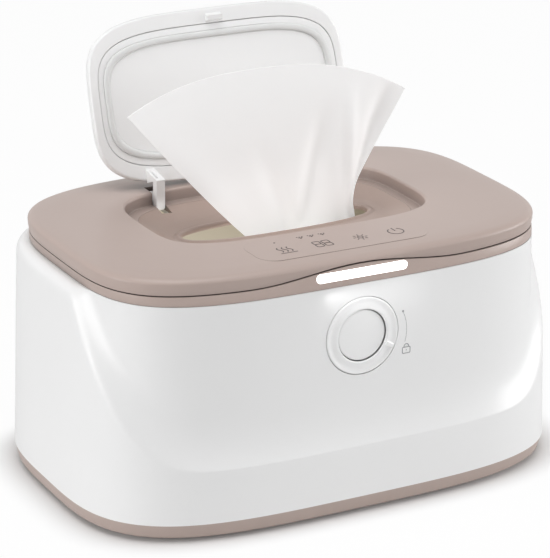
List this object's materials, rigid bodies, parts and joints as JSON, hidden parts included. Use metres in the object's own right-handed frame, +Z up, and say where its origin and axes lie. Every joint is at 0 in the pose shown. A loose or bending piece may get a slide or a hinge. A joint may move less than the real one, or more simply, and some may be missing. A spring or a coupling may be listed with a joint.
{
  "type": "baby wipe warmer",
  "caption": "Bench-top warmer for wet wipes with a hinged lid, an arm-hinged flip lid over a dispensing slot, a dial lock, a push button, touch controls and a light bar.",
  "frame": {"origin": "centre of the footprint, on the table under the rubber feet", "axes": "+Z up, +X to the right of a person who faces the front, -Y out of the front where the dial is"},
  "size_m": [0.2434, 0.167, 0.2001],
  "materials": {
    "white_shell": "satin white moulding",
    "taupe_shell": "fine matte taupe moulding",
    "white_trim": "satin",
    "cream_liner": "matte",
    "black_rubber": "matte",
    "seal_rubber": "soft",
    "screw_steel": "plated",
    "lit_lens": "frosted, lit",
    "board": "solder mask",
    "heater": "rolled",
    "insulation": "felt",
    "black_plastic": "matte",
    "fuse_body": "plain",
    "inner_plastic": "matte",
    "cloth": "damp nonwoven"
  },
  "bodies": {
    "housing": {"outer_housing": "white_shell", "base_tray": "taupe_shell", "rubber_feet": "black_rubber", "base_screws": "screw_steel", "trim_ring": "taupe_shell", "light_bar_lens": "lit_lens", "light_board": "board", "inner_tub": "cream_liner", "heating_plate": "heater", "insulation_pad": "insulation", "temperature_sensor": "black_plastic", "thermal_fuse": "fuse_body", "control_board": "board", "power_socket": "black_plastic", "lid_hinge_pins": "screw_steel"},
    "lock_dial": {"dial_ring": "white_trim", "lock_cam": "inner_plastic"},
    "button": {"open_button": "white_trim", "latch_slide": "inner_plastic", "button_spring": "screw_steel"},
    "main_lid": {"lid_cover": "taupe_shell", "lid_liner": "inner_plastic", "lid_gasket": "seal_rubber", "dispenser_insert": "taupe_shell", "touch_panel": "taupe_shell", "touch_board": "board", "lid_screws": "screw_steel", "lid_catch": "inner_plastic", "flip_hinge_pins": "screw_steel", "wipe": "cloth"},
    "flip_lid": {"flip_cover": "white_trim", "flip_panel": "white_trim", "flip_seal": "seal_rubber", "flip_arms": "white_trim", "flip_hook": "white_trim"}
  },
  "joints": [
    {"name": "lid_hinge", "type": "hinge", "parent": "housing", "child": "main_lid", "pos_m": [0, 0.0799, 0.1125], "axis": [-1, 0, 0], "range_deg": [0, 85]},
    {"name": "flip_hinge", "type": "hinge", "parent": "main_lid", "child": "flip_lid", "pos_m": [0, 0.0504, 0.1182], "axis": [1, 0, 0], "range_deg": [0, 105.9], "deforming": ["wipe"]},
    {"name": "dial_turn", "type": "hinge", "parent": "housing", "child": "lock_dial", "pos_m": [0, -0.0774, 0.0844], "axis": [0, -1, 0], "range_deg": [0, 48]},
    {"name": "button_press", "type": "slide", "parent": "housing", "child": "button", "axis": [0, 1, 0], "range_m": [0, 0.0025], "stiffness_N_per_m": 900, "springref_m": -0.001, "deforming": ["button_spring"]}
  ]
}
